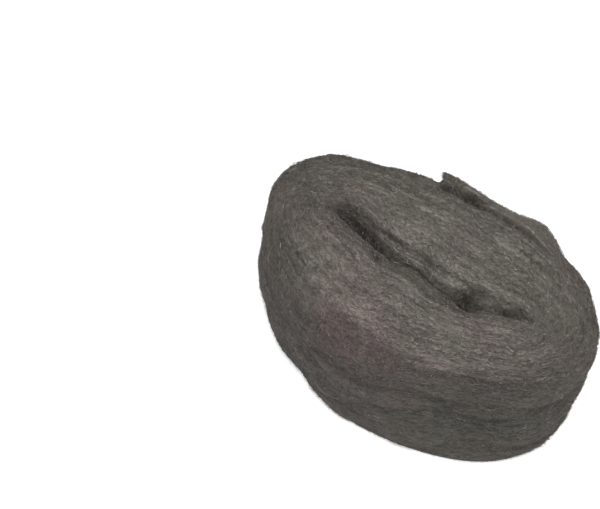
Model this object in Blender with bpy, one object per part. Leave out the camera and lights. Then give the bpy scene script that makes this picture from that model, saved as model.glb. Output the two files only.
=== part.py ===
"""Roll of fine steel wool for scouring: one long strip of steel fibres, wound on itself.

The roll stands on one end, so +Z is the axis that the strip is wound about and the strip's
width is the roll's height. +X runs along the flattened core. The strip starts at the core,
on the near side (-Y), winds anticlockwise seen from above, and ends in a loose tail on the
far side (+Y). Its turns press on each other, so the whole roll is one solid, with a groove
between turns on both ends and a slit where the core has closed.

A place on an end is given by an angle round the roll and a share, which is 0 on the slit's
lip and 1 on the outer face of the last turn.
"""

import math

import bmesh
import bpy
from mathutils import Vector

# Driving dimensions, in metres
ROLL_LENGTH = 0.1485
ROLL_DEPTH = 0.0930
STRIP_WIDTH = 0.0760
STRIP_THICKNESS = 0.0033
SLIT_LENGTH = 0.0840
SLIT_MOUTH = 0.0006

# The slit: how far its left end lies off the straight line, how deep it runs, and where it
# gapes, as (place from -1 at its left end to 1 at its right, half length, half width)
SLIT_BEND = 0.0140
SLIT_SET_BACK = 0.0043
SLIT_DEPTH_TOP = 0.0110
SLIT_DEPTH_BASE = 0.0050
SLIT_GAPS = ((-0.83, 0.0080, 0.0006), (0.47, 0.0036, 0.0006), (0.91, 0.0026, 0.0006))
# How far it sags to the near side, as (x, half length, sag)
SLIT_SAGS = (
    (-0.0190, 0.0120, 0.0028),
    (-0.0050, 0.0045, -0.0009),
    (0.0060, 0.0040, 0.0006),
    (0.0380, 0.0090, -0.0016),
)
# Where loose wool nearly closes it, as (x, half length, share of its depth that is filled)
SLIT_FILLED = ((0.0000, 0.0110, 0.62), (0.0300, 0.0045, 0.60))
# How far its lips round off down into it, and how far from it that reaches
SLIT_LIP_DROP = 0.0040
SLIT_LIP_REACH = 0.0015

# The rounded form of the roll
LEFT_END_BEND = 0.0105
SIDE_BULGE = 0.0030
VALLEY_DROP_TOP = 0.0050
VALLEY_DROP_BASE = 0.0050
SHOULDER_DROP_TOP = 0.0060
SHOULDER_REACH = 0.0110
SHOULDER_DROP_BASE = 0.0030
FAR_HALF_DROP = 0.0012
NEAR_LEFT_SLUMP = 0.0160
# Where the near shoulder is less rounded, as (angle, half spread, share of its drop taken off)
FIRM_SHOULDERS = ((math.radians(303), math.radians(24), 0.62),)

# Dents in the upper end, as (x, y, half length, half width, turned by, depth)
DENTS = (
    (-0.0340, 0.0085, 0.0100, 0.0030, math.radians(-20), 0.0042),
    (0.0195, -0.0056, 0.0040, 0.0024, math.radians(-32), 0.0052),
    (0.0228, -0.0022, 0.0050, 0.0034, math.radians(40), 0.0034),
    (0.0383, -0.0024, 0.0036, 0.0015, math.radians(10), 0.0036),
    (0.0028, 0.0398, 0.0060, 0.0020, math.radians(-4), 0.0046),
)

# Soft lumps all over, as waves with (length along x, along y, along z, phase, height)
LUMPS = (
    (0.055, 0.090, 0.060, 0.4, 0.00050),
    (-0.040, 0.050, 0.075, 2.1, 0.00040),
    (0.030, -0.045, 0.032, 4.4, 0.00035),
    (0.060, 0.026, -0.030, 1.2, 0.00030),
    (-0.024, 0.033, 0.022, 5.3, 0.00025),
)
# They grow past the upper rim over the first distance, and end above the lower rim in the second
LUMPS_GROW_BY = 0.016
LUMPS_FADE = 0.004

# The grooves between turns, and the creases round the side
GROOVE_DEPTH_TOP = 0.0008
GROOVE_DEPTH_BASE = 0.0008
TURN_UNEVENNESS = 0.0003
CREASE_DEPTH = 0.0015

# The loose tail at the strip's outer end
TAIL_LIP_RISE = 0.0006
TAIL_LIFT = 0.0004
TAIL_GAP_DEPTH = 0.0045
# Where it stands off more, as (distance from its end, half length, upwards, outwards)
TAIL_CURLS = ((0.0, 0.0110, 0.0034, 0.0006), (0.0465, 0.0072, 0.0016, 0.0018))

# Where the upper and the lower rim stand out or are tucked in, as (angle, half spread, outward)
HIGH_RIM_SHIFTS = ((math.radians(303), math.radians(26), -0.0052),)
LOW_RIM_SHIFTS = (
    (math.radians(238), math.radians(14), -0.0030),
    (math.radians(275), math.radians(24), 0.0012),
    (math.radians(334), math.radians(15), -0.0012),
)
# Hollows in the side, as (angle, half spread, share of the height, half spread, depth)
SIDE_HOLLOWS = (
    (math.radians(342), math.radians(16), 0.58, 0.20, 0.0026),
    (math.radians(356), math.radians(13), 0.68, 0.18, 0.0038),
    (math.radians(303), math.radians(18), 0.38, 0.22, 0.0042),
    (math.radians(306), math.radians(10), 0.60, 0.06, 0.0012),
)

# Proportions without a unit. The squareness is given for the left and the right quarter.
NEAR_SQUARENESS = (2.1, 2.42)
FAR_SQUARENESS = (2.35, 1.92)
FAR_SHOULDER_SHARE = 0.67
FIRST_TURN_SHUT = 0.85
BENT_PART_OF_SLIT = 0.75
VALLEY_REACH = 0.24
GAP_REACH = 0.16
SHOULDER_POWER = 2.2
SLUMP_POWER = 4.0
SLUMP_WIDTH = 0.5
BULGE_POWER = 3.2
LOW_SHIFT_POWER = 4.0
HIGH_SHIFT_POWER = 4.0
BASE_FLAT_FROM = 0.14
BASE_FLAT_TO = 0.84
TURN_WAVES = (2.37, 5.13)
CREASE_SHARES = (0.76, 0.20)
CREASE_SPREAD = 0.058
LUMPS_ON_END = 0.45

# How each crease rises and falls round the roll, as (waves, phase), how far, and how it fades
CREASE_WAVES = ((3, 0.6), (-4, 2.0))
CREASE_WANDER = 0.028
CREASE_FADING = 0.35

# The tail, in turns: how much thicker than one turn it is, and the widths of its lip and gap
TAIL_FULLNESS = 0.75
TAIL_LIP_WIDTH = 0.30
TAIL_GAP_WIDTH = 0.38

# Steps of the mesh
STEPS_PER_TURN = 48
START_STEP = 32
TAIL_STEP = 13
TAIL_REACH_STEPS = 7
TAIL_FADING_STEPS = 2
CROWN_SHARES = (0.24, 0.76)
SIDE_ROWS = 16
ROW_EVENNESS = 0.6

STEEL_GREY = (0.135, 0.125, 0.112, 1.0)
WOOL_METALLIC = 0.55
WOOL_ROUGHNESS = 0.62
SMOOTH_BELOW = math.radians(60)


def blend(low, high, amount):
    """The value that lies this share of the way from low to high."""
    return low + (high - low) * amount


def ease(amount):
    """0 to 1 with a soft start and end; the amount is first held between 0 and 1."""
    held = min(max(amount, 0.0), 1.0)
    return held * held * (3.0 - 2.0 * held)


def bell(distance):
    """1 at no distance, falling off softly to 0 past a distance of about 2."""
    return math.exp(-distance * distance)


def angle_apart(angle, place):
    """The angle from a place to this one, from minus to plus half a turn."""
    return (angle - place + math.pi) % math.tau - math.pi


def bells_round(angle, places):
    """The sum of soft bumps round the roll, each as (angle, half spread, height)."""
    return sum(height * bell(angle_apart(angle, place) / spread) for place, spread, height in places)


def oval_direction(angle):
    """The point at this angle on an oval of half axes 1 and 1, squarer in some quarters."""
    along, aside = math.cos(angle), math.sin(angle)
    half = FAR_SQUARENESS if aside > 0.0 else NEAR_SQUARENESS
    squareness = half[0] if along < 0.0 else half[1]
    reach = (abs(along) ** squareness + abs(aside) ** squareness) ** (1.0 / squareness)
    return along / reach, aside / reach


def half_pile():
    """How deep the turns lie on each other between the slit and the outer face."""
    return (ROLL_DEPTH - SLIT_MOUTH) / 2 - SIDE_BULGE


def strip_steps():
    """Steps from the strip's inner end to its tail: whole turns, then the rest of a turn."""
    rest = (TAIL_STEP - START_STEP) % STEPS_PER_TURN
    whole_turns = round(half_pile() / STRIP_THICKNESS - 1 - rest / STEPS_PER_TURN)
    return max(whole_turns, 1) * STEPS_PER_TURN + rest


def angle_at(step):
    return math.tau * (START_STEP + step) / STEPS_PER_TURN


def inner_share(step):
    """The share of the strip's inner face. Most of the first turn is pressed shut on the slit."""
    share = step / (strip_steps() + STEPS_PER_TURN)
    shut_until = FIRST_TURN_SHUT * STEPS_PER_TURN
    if step >= STEPS_PER_TURN:
        return share
    return share * ease((step - shut_until) / (STEPS_PER_TURN - shut_until))


def share_at(step, across=0.0):
    """The share at a step of the strip, from its inner face (across 0) to its outer (1)."""
    return blend(inner_share(step), inner_share(step + STEPS_PER_TURN), across)


def core_bend(x):
    """How far the slit lies to the far side of the roll's middle at this x."""
    along = (x / SLIT_LENGTH + 0.5) / BENT_PART_OF_SLIT
    sag = sum(aside * bell((x - place) / half_length) for place, half_length, aside in SLIT_SAGS)
    return SLIT_BEND * (1.0 - ease(along)) - SLIT_SET_BACK - sag


def outer_bend(x):
    """How far the outer turns lie to the far side at this x: the roll's left end is bent."""
    left = max(-x, 0.0) / (ROLL_LENGTH / 2)
    return LEFT_END_BEND * left * left


def slit_gap(x):
    """Half the extra width of the slit where it gapes."""
    total = 0.0
    for place, half_length, half_width in SLIT_GAPS:
        total += half_width * bell((x - place * SLIT_LENGTH / 2) / half_length)
    return total


def slit_open(x):
    """The share of the slit's depth that is left at this x."""
    filled = [share * bell((x - place) / half_length) for place, half_length, share in SLIT_FILLED]
    return 1.0 - sum(filled)


def plan_point(angle, share, outward=0.0):
    """(x, y) on the turn at this share, moved outward by a distance."""
    half_x = blend(SLIT_LENGTH / 2, ROLL_LENGTH / 2 - SIDE_BULGE, share) + outward
    half_y = blend(SLIT_MOUTH / 2, ROLL_DEPTH / 2 - SIDE_BULGE, share) + outward
    along, aside = oval_direction(angle)
    x = half_x * along
    half_y += slit_gap(x) * (1.0 - ease(share / GAP_REACH))
    return x, half_y * aside + blend(core_bend(x), outer_bend(x), ease(share))


def slit_point(angle):
    """(x, y) on the middle line of the slit, level with this angle."""
    x = SLIT_LENGTH / 2 * oval_direction(angle)[0]
    return x, core_bend(x)


def tail_curl(before):
    """How far the tail stands up and outward, at this many steps before its end."""
    share = ease(1.0 - before / TAIL_REACH_STEPS)
    rise, lift = TAIL_LIP_RISE * share, TAIL_LIFT * share
    distance = before * math.tau / STEPS_PER_TURN * ROLL_LENGTH / 2
    for place, half_length, upward, outward in TAIL_CURLS:
        near = bell((distance - place) / half_length)
        rise += upward * near
        lift += outward * near
    return rise, lift


def tail_height(step, across):
    """The lip of the loose tail, and the gap that it leaves at its inner face."""
    before = strip_steps() - step
    if before >= STEPS_PER_TURN:
        before -= STEPS_PER_TURN
        across -= 1.0
    lip = tail_curl(before)[0] * ease((across + TAIL_FULLNESS) / TAIL_LIP_WIDTH)
    gap = TAIL_GAP_DEPTH * bell((across + TAIL_FULLNESS) / TAIL_GAP_WIDTH)
    return lip - gap * ease((TAIL_REACH_STEPS - before) / TAIL_FADING_STEPS)


def reach_at(angle):
    """About how far the rim lies from the slit at this angle."""
    along, aside = oval_direction(angle)
    return math.hypot((ROLL_LENGTH - SLIT_LENGTH) / 2 * along, ROLL_DEPTH / 2 * aside)


def rim_share(step):
    """The share of the outermost turn at this step's angle."""
    before_end = (strip_steps() - step) % STEPS_PER_TURN
    return share_at(strip_steps() - before_end, 1.0)


def rim_shift(angle, share, share_up):
    """How far the roll stands out or is tucked in towards its lower and its upper rim."""
    low = bells_round(angle, LOW_RIM_SHIFTS) * share**LOW_SHIFT_POWER
    high = bells_round(angle, HIGH_RIM_SHIFTS) * share**HIGH_SHIFT_POWER
    return blend(low, high, share_up)


def unevenness(step):
    """The strip's edge stands a little high or low as it winds."""
    turn = math.tau * step / STEPS_PER_TURN
    first, second = TURN_WAVES
    return TURN_UNEVENNESS * (math.sin(turn / first) + math.sin(turn / second)) / 2


def dents(x, y):
    """Depth of the dents in the upper end."""
    total = 0.0
    for place_x, place_y, half_length, half_width, turned, depth in DENTS:
        along = (x - place_x) * math.cos(turned) + (y - place_y) * math.sin(turned)
        aside = (y - place_y) * math.cos(turned) - (x - place_x) * math.sin(turned)
        total += depth * bell(along / half_length) * bell(aside / half_width)
    return total


def lumps(x, y, z, down):
    """Height of the soft lumps at a place, and this far down from the upper rim."""
    total = 0.0
    for along, aside, upward, phase, height in LUMPS:
        total += height * math.sin(math.tau * (x / along + y / aside + z / upward) + phase)
    grown = blend(LUMPS_ON_END, 1.0, ease(down / LUMPS_GROW_BY + 0.5))
    return total * grown * ease((STRIP_WIDTH - down) / LUMPS_FADE)


def top_height(step, across):
    """The upper end's height: a valley at the slit, a rounded shoulder, and a slumped corner."""
    angle, share = angle_at(step), share_at(step, across)
    toward_far = (1.0 + math.sin(angle)) / 2
    toward_near_left = max(-math.sin(angle), 0.0) * ease(SLUMP_WIDTH - math.cos(angle))
    inside = (rim_share(step) - share) * reach_at(angle)
    shoulder = max(1.0 - inside / SHOULDER_REACH, 0.0) ** SHOULDER_POWER
    height = STRIP_WIDTH - VALLEY_DROP_TOP * (1.0 - ease(share / VALLEY_REACH))
    lip_drop = SLIT_LIP_DROP * slit_open(slit_point(angle)[0])
    height -= lip_drop * bell(share * half_pile() / SLIT_LIP_REACH)
    near_share = 1.0 - bells_round(angle, FIRM_SHOULDERS)
    height -= SHOULDER_DROP_TOP * blend(near_share, FAR_SHOULDER_SHARE, ease(toward_far)) * shoulder
    height -= FAR_HALF_DROP * toward_far * ease(share / VALLEY_REACH)
    height -= NEAR_LEFT_SLUMP * toward_near_left * share**SLUMP_POWER
    x, y = plan_point(angle, share)
    height -= dents(x, y)
    return height + lumps(x, y, height, (share - rim_share(step)) * half_pile())


def base_height(share):
    """The lower end's height: flat where the roll's weight presses it on a table."""
    valley = VALLEY_DROP_BASE * (1.0 - ease(share / BASE_FLAT_FROM))
    beyond = max(share - BASE_FLAT_TO, 0.0) / (1.0 - BASE_FLAT_TO)
    return valley + SHOULDER_DROP_BASE * beyond * beyond


def crown_top(step, across):
    """Height of the upper end at a point on the strip's edge, away from its grooves."""
    return top_height(step, across) - abs(unevenness(step)) + tail_height(step, across)


def groove_top(step):
    """Height of the groove at the inner face of the strip."""
    return top_height(step, 0.0) - GROOVE_DEPTH_TOP + tail_height(step, 0.0)


def crown_base(step, across):
    return base_height(share_at(step, across))


def groove_base(step):
    return base_height(share_at(step)) + GROOVE_DEPTH_BASE


def crease(angle, share_up):
    """How far creases and hollows draw the side in, at this share of the wall's height."""
    depth = 0.0
    for level, (waves, phase) in zip(CREASE_SHARES, CREASE_WAVES):
        wander = CREASE_WANDER * math.sin(waves * angle + phase)
        strength = 1.0 - CREASE_FADING * (1.0 + math.sin((waves - 1) * angle + phase))
        depth += CREASE_DEPTH * strength * bell((share_up - level - wander) / CREASE_SPREAD)
    for place, spread, level, spread_up, hollow in SIDE_HOLLOWS:
        near = bell(angle_apart(angle, place) / spread)
        depth += hollow * near * bell((share_up - level) / spread_up)
    return depth


def side_point(step, row):
    """A point on the outer face, from row 0 at the upper edge to the last row at the lower."""
    angle, share = angle_at(step), share_at(step, 1.0)
    top = crown_top(step, 1.0)
    base = base_height(share)
    rounded = (1.0 + math.cos(math.pi * row / SIDE_ROWS)) / 2
    share_up = blend(rounded, 1.0 - row / SIDE_ROWS, ROW_EVENNESS)
    from_middle = abs(2.0 * share_up - 1.0)
    outward = SIDE_BULGE * (1.0 - from_middle**BULGE_POWER) - crease(angle, share_up)
    outward += rim_shift(angle, share, share_up) + tail_curl(strip_steps() - step)[1]
    x, y = plan_point(angle, share, outward)
    height = blend(base, top, share_up)
    outward += lumps(x, y, height, (1.0 - share_up) * STRIP_WIDTH)
    x, y = plan_point(angle, share, outward)
    return Vector((x, y, height))


def end_point(step, across, height, on_base):
    """A point on an end of the roll, at a step and across the strip's thickness."""
    angle, share = angle_at(step), share_at(step, across)
    outward = rim_shift(angle, share, 0.0 if on_base else 1.0)
    if step > strip_steps() - STEPS_PER_TURN:
        outward += tail_curl(strip_steps() - step)[1] * across
    x, y = plan_point(angle, share, outward)
    return Vector((x, y, height))


class RollMesh:
    """Builds the roll's closed surface, strip step by strip step."""

    def __init__(self):
        self.bm = bmesh.new()
        self.steps = strip_steps()
        self.top = self.make_end(crown_top, groove_top, on_base=False)
        self.base = self.make_end(crown_base, groove_base, on_base=True)
        self.side = self.make_side()
        self.tail = self.make_tail()

    def make_end(self, crown, groove, on_base):
        """Vertices of one end, as [step][place across]. The last place is the next turn's first."""
        rows = []
        for step in range(self.steps + 1):
            places = [end_point(step, 0.0, groove(step), on_base)]
            for across in CROWN_SHARES:
                places.append(end_point(step, across, crown(step, across), on_base))
            rows.append([self.bm.verts.new(place) for place in places])
        first_outer = self.steps - STEPS_PER_TURN
        for step in range(self.steps + 1):
            if step <= first_outer:
                rows[step].append(rows[step + STEPS_PER_TURN][0])
            else:
                outer = end_point(step, 1.0, crown(step, 1.0), on_base)
                rows[step].append(self.bm.verts.new(outer))
        return rows

    def make_side(self):
        """Columns of the outer face over the last turn, each from the upper end to the lower."""
        columns = []
        for step in range(self.steps - STEPS_PER_TURN, self.steps + 1):
            between = [self.bm.verts.new(side_point(step, row)) for row in range(1, SIDE_ROWS)]
            columns.append([self.top[step][-1], *between, self.base[step][-1]])
        return columns

    def make_tail(self):
        """Columns of the strip's cut end, from its inner face to its outer face."""
        inner, outer = self.side[0], self.side[-1]
        columns = [inner]
        for place, across in enumerate(CROWN_SHARES, start=1):
            column = [self.top[self.steps][place]]
            for row in range(1, SIDE_ROWS):
                column.append(self.bm.verts.new(inner[row].co.lerp(outer[row].co, across)))
            column.append(self.base[self.steps][place])
            columns.append(column)
        columns.append(outer)
        return columns

    def bridge(self, columns):
        """Quads between neighbouring columns of equal length."""
        for left, right in zip(columns, columns[1:]):
            for row in range(len(left) - 1):
                self.bm.faces.new((left[row], right[row], right[row + 1], left[row + 1]))

    def close_slit(self, rows, depth):
        """Walls from the first turn's lip down to the slit's bottom line, which both share."""
        rim = [rows[step][0] for step in range(STEPS_PER_TURN + 1)]
        rim += rows[0][-2:0:-1]
        places = [START_STEP + step for step in range(STEPS_PER_TURN + 1)]
        places += [START_STEP] * (len(rows[0]) - 2)
        bottom = {}
        for corner, place in zip(rim, places):
            key = min(place % STEPS_PER_TURN, -place % STEPS_PER_TURN)
            if key not in bottom:
                x, y = slit_point(math.tau * key / STEPS_PER_TURN)
                bottom[key] = self.bm.verts.new((x, y, corner.co.z - depth * slit_open(x)))
        keys = [min(place % STEPS_PER_TURN, -place % STEPS_PER_TURN) for place in places]
        for index, corner in enumerate(rim):
            following = (index + 1) % len(rim)
            ring = [corner, rim[following], bottom[keys[following]], bottom[keys[index]]]
            self.bm.faces.new(list(dict.fromkeys(ring)))

    def finish(self):
        self.bridge(self.top)
        self.bridge(self.base)
        self.bridge(self.side)
        self.bridge(self.tail)
        self.close_slit(self.top, SLIT_DEPTH_TOP)
        self.close_slit(self.base, -SLIT_DEPTH_BASE)
        bmesh.ops.triangulate(self.bm, faces=self.bm.faces)
        bmesh.ops.recalc_face_normals(self.bm, faces=self.bm.faces)
        self.centre_on_base()
        mesh = bpy.data.meshes.new("steel_wool_roll")
        self.bm.to_mesh(mesh)
        self.bm.free()
        return mesh

    def centre_on_base(self):
        """Moves the roll so that the origin is under the middle of its box."""
        places = [vertex.co for vertex in self.bm.verts]
        low = Vector(min(place[axis] for place in places) for axis in range(3))
        high = Vector(max(place[axis] for place in places) for axis in range(3))
        middle = Vector(((low.x + high.x) / 2, (low.y + high.y) / 2, low.z))
        bmesh.ops.translate(self.bm, verts=self.bm.verts, vec=-middle)


def wool_material():
    material = bpy.data.materials.new("steel_wool")
    material.use_nodes = True
    shader = material.node_tree.nodes["Principled BSDF"]
    shader.inputs["Base Color"].default_value = STEEL_GREY
    shader.inputs["Metallic"].default_value = WOOL_METALLIC
    shader.inputs["Roughness"].default_value = WOOL_ROUGHNESS
    return material


def main():
    for old in list(bpy.data.objects):
        bpy.data.objects.remove(old, do_unlink=True)
    mesh = RollMesh().finish()
    mesh.shade_smooth()
    mesh.set_sharp_from_angle(angle=SMOOTH_BELOW)
    mesh.materials.append(wool_material())
    roll = bpy.data.objects.new("steel_wool_roll", mesh)
    bpy.context.scene.collection.objects.link(roll)


main()
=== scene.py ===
"""Looks of the steel wool roll: its matted, wound body and the fibres that lie on it.

A place on the roll is given by three numbers. The angle goes anticlockwise round the roll,
seen from above. The rim is the share of the outermost turn at that angle, where a share is 0
on the slit's lip and 1 on the outer face of the strip's end. Down is a distance that is 0 on
the upper rim: it is negative on the upper end, grows down the side, and goes on growing from
the lower rim to the slit on the lower end. All lengths are in metres.
"""

import math

import bpy
import numpy as np
from mathutils import Matrix, Vector


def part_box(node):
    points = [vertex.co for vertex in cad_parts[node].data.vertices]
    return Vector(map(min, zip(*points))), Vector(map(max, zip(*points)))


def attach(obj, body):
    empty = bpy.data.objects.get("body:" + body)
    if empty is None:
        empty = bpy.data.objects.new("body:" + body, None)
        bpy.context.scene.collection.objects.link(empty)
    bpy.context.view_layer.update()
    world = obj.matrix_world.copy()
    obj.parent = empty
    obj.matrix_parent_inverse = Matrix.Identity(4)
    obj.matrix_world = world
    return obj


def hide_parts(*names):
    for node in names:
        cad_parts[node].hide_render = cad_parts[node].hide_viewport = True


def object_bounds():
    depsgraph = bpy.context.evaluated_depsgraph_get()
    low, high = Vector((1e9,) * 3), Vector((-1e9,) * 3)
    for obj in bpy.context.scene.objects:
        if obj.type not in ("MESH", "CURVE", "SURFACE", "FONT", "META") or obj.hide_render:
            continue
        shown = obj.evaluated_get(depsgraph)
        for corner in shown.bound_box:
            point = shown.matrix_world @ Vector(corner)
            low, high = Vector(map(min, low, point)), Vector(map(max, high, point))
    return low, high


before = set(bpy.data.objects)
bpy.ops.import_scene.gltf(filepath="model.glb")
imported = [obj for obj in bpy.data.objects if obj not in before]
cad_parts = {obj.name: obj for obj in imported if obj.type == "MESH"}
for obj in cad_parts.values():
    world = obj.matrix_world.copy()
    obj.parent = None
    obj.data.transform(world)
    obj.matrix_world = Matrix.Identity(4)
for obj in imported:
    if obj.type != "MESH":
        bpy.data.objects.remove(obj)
cad_low, cad_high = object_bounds()

NODE = "steel_wool_roll"
BODY = "root"

# The roll's driving dimensions
ROLL_LENGTH = 0.1485
ROLL_DEPTH = 0.0930
STRIP_WIDTH = 0.0760
STRIP_THICKNESS = 0.0033
SLIT_LENGTH = 0.0840
SLIT_MOUTH = 0.0006

# The slit: its bend, its place and its depth
SLIT_BEND = 0.0140
SLIT_SET_BACK = 0.0043
SLIT_DEPTH_TOP = 0.0110
SLIT_DEPTH_BASE = 0.0050
# Where it gapes, as (x, half length, half width)
SLIT_GAPS = (
    (-0.83 * SLIT_LENGTH / 2, 0.0080, 0.0006),
    (0.47 * SLIT_LENGTH / 2, 0.0036, 0.0006),
    (0.91 * SLIT_LENGTH / 2, 0.0026, 0.0006),
)
# How far it sags to the near side, as (x, half length, sag)
SLIT_SAGS = (
    (-0.0190, 0.0120, 0.0028),
    (-0.0050, 0.0045, -0.0009),
    (0.0060, 0.0040, 0.0006),
    (0.0380, 0.0090, -0.0016),
)
# Where loose wool nearly closes it, as (x, half length, share of its depth that is filled)
SLIT_FILLED = ((0.0000, 0.0110, 0.62), (0.0300, 0.0045, 0.60))

# The rounded form of the roll
LEFT_END_BEND = 0.0105
SIDE_BULGE = 0.0030
VALLEY_DROP_TOP = 0.0050
SLIT_LIP_DROP = 0.0040
SLIT_LIP_REACH = 0.0015
VALLEY_DROP_BASE = 0.0050
NEAR_SHOULDER_DROP = 0.0060
FAR_SHOULDER_DROP = 0.0040
SHOULDER_REACH = 0.0110
SHOULDER_DROP_BASE = 0.0030
FAR_HALF_DROP = 0.0012
NEAR_LEFT_SLUMP = 0.0160

# The loose tail at the strip's outer end
TAIL_LIP_RISE = 0.0006
TAIL_LIFT = 0.0004
TAIL_GAP_DEPTH = 0.0045
# Where it stands off more, as (distance from its end, half length, upwards, outwards)
TAIL_CURLS = ((0.0, 0.0110, 0.0034, 0.0006), (0.0465, 0.0072, 0.0016, 0.0018))

# How square the near and the far side are, to the left and to the right: 2 is an ellipse
NEAR_SQUARENESS = (2.1, 2.42)
FAR_SQUARENESS = (2.35, 1.92)
# Shares and powers, without a unit
FIRST_TURN_SHUT = 0.85
BENT_PART_OF_SLIT = 0.75
VALLEY_REACH = 0.24
GAP_REACH = 0.16
SHOULDER_POWER = 2.2
SLUMP_POWER = 4.0
SLUMP_WIDTH = 0.5
BULGE_POWER = 3.2
RIM_SHIFT_POWER = 4.0
BASE_FLAT_FROM = 0.14
BASE_FLAT_TO = 0.84

# Where the strip starts at the core and ends in its tail
START_ANGLE = math.radians(240)
TAIL_ANGLE = math.radians(97.5)
# How far back the tail stands off, and over what angle its gap closes
TAIL_REACH = math.radians(52.5)
TAIL_FADING = math.radians(15.0)
# How far past the tail's end its step is smoothed out, and how far strands keep off that end
RIM_SOFTENING = math.radians(14)
TAIL_ROOM = math.radians(4)
# In turns: how much thicker than one turn the tail is, over what its lip rises, the half width
# of the gap inside it, and where its fringes start
TAIL_FULLNESS = 0.75
TAIL_LIP_WIDTH = 0.30
TAIL_GAP_WIDTH = 0.38
ON_FRINGE = 1.02

# Bare angles in tables are in degrees, and phases of waves in radians. Where the near shoulder
# is less rounded, as (angle, half spread, share of its drop taken off)
FIRM_SHOULDERS = ((303, 24, 0.62),)
# Where the upper and the lower rim stand out or are tucked in, as (angle, half spread, outward)
HIGH_RIM_SHIFTS = ((303, 26, -0.0052),)
LOW_RIM_SHIFTS = ((238, 14, -0.0030), (275, 24, 0.0012), (334, 15, -0.0012))

# Soft lumps all over, as waves with (length along x, along y, along z, phase, height)
LUMPS = (
    (0.055, 0.090, 0.060, 0.4, 0.00050),
    (-0.040, 0.050, 0.075, 2.1, 0.00040),
    (0.030, -0.045, 0.032, 4.4, 0.00035),
    (0.060, 0.026, -0.030, 1.2, 0.00030),
    (-0.024, 0.033, 0.022, 5.3, 0.00025),
)
# They keep this share of their height on the upper end, and grow over this distance at its rim
LUMPS_ON_END = 0.45
LUMPS_GROW_BY = 0.016
# All relief fades out this near to the lower rim
RELIEF_FADE = 0.004

# The grooves between turns: their depth, and their half spread in turns
GROOVE_DEPTH = 0.0004
GROOVE_SPREAD = 0.13
# A groove's mean and greatest strength. Like all noise below, the noise that it deepens and
# fades by is given as rows of (length along the winding, width across it, amount, seed).
GROOVE_MEAN = 0.5
GROOVE_MOST = 1.3
GROOVE_NOISE = ((0.014, 0.005, 1.1, 9),)
# Creases round the side, as (share of the height, half spread, depth, waves round the roll, phase)
CREASES = ((0.76, 0.058, 0.0015, 3, 0.6), (0.20, 0.058, 0.0015, -4, 2.0))
CREASE_WANDER = 0.028
CREASE_FADING = 0.35
# Hollows in the side, as (angle, half spread, share of the height, half spread, depth)
SIDE_HOLLOWS = (
    (342, 16, 0.58, 0.20, 0.0026),
    (356, 13, 0.68, 0.18, 0.0038),
    (303, 18, 0.38, 0.22, 0.0042),
    (306, 10, 0.60, 0.06, 0.0012),
)
# Matted clumps
CLUMP_NOISE = (
    (0.0260, 0.0030, 0.00022, 6),
    (0.0090, 0.0045, 0.00034, 2),
    (0.0042, 0.0022, 0.00020, 3),
    (0.0022, 0.0011, 0.00012, 4),
    (0.0012, 0.0012, 0.00016, 5),
)

# Dents in the upper end, as (x, y, half length, half width, turned by, depth)
DENTS = (
    (-0.0340, 0.0085, 0.0100, 0.0030, -20, 0.0042),
    (-0.0190, -0.0030, 0.0036, 0.0012, -52, 0.0034),
    (0.0195, -0.0056, 0.0040, 0.0024, -32, 0.0052),
    (0.0228, -0.0022, 0.0050, 0.0034, 40, 0.0034),
    (0.0383, -0.0024, 0.0036, 0.0015, 10, 0.0036),
    (0.0290, -0.0160, 0.0022, 0.0007, 15, 0.0010),
    (0.0454, -0.0074, 0.0018, 0.0008, 30, 0.0010),
    (0.0028, 0.0398, 0.0060, 0.0020, -4, 0.0046),
    (0.0040, 0.0382, 0.0040, 0.0020, -10, 0.0034),
    (0.0370, 0.0345, 0.0065, 0.0012, -32, 0.0010),
)
# A fold beside the slit, on its far side: from the slit, half width, x, half length, depth
FOLD = (0.0042, 0.0010, -0.0060, 0.0170, 0.0018)
FOLD_WANDER = 0.0006
FOLD_WAVE = 0.0045
# Past the rim, dents end within this distance
DENT_FADE = 0.0040

# Steps of the body's mesh
STEPS_PER_TURN = 288
PLACES_ACROSS = 7
WALL_ROWS = 118
SLIT_ROWS = 4

# Kinds of strand in each piece, as (how many, points along it, its lengths, its widths)
MATTED = (18500, 3, (0.0016, 0.0042), (0.00010, 0.00018))
COMBED = (1900, 6, (0.0055, 0.0110), (0.00009, 0.00015))
FUZZ = (8800, 4, (0.0018, 0.0050), (0.00005, 0.00010))
TAIL_FUZZ = (2000, 4, (0.0015, 0.0040), (0.00006, 0.00012))
TUFT = (700, 4, (0.0020, 0.0045), (0.00006, 0.00012))
ON_BASE = (5000, 3, (0.0020, 0.0050), (0.00012, 0.00020))
FRINGE = (1200, 5, (0.0030, 0.0070), (0.00009, 0.00016))
TIP_FRINGE = (450, 5, (0.0025, 0.0055), (0.00007, 0.00014))
# The seeds of the pieces' random draws
END_AND_SIDE_SEEDS = (51, 52)
LOWER_END_SEED = 54
TAIL_SEED = 55
FUZZ_SEED = 56

# How high a strand bows in its middle, and how far it is kinked aside and up
FIBRE_LIFTS = (-0.00010, 0.00038)
KINK_ASIDE = 0.00050
KINK_UP = 0.00026
# The part of strands with one loose end, and how high that rises
LOOSE_SHARE = 0.12
LOOSE_RISE = (0.0004, 0.0017)
# How deep a strand's ends are tucked in, and the powers of its bow and its rise
TUCKED_IN = -0.0003
BOW_POWER = 2.5
RISE_POWER = 1.6
# A strand leans across the winding by itself, and together with its neighbours
OWN_LEAN = math.radians(36)
SHARED_LEAN_NOISE = ((0.014, 0.008, math.radians(20), 40),)
# Painted glints, as short bright strands that lie any way: their part of all, tone, share of the
# length, and lean
GLINT_SHARE = 0.030
PAINTED_GLINT_TONE = 0.96
GLINT_LENGTH = 0.5
GLINT_LEAN = math.radians(60)
TUBE_SIDES = 3

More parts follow.
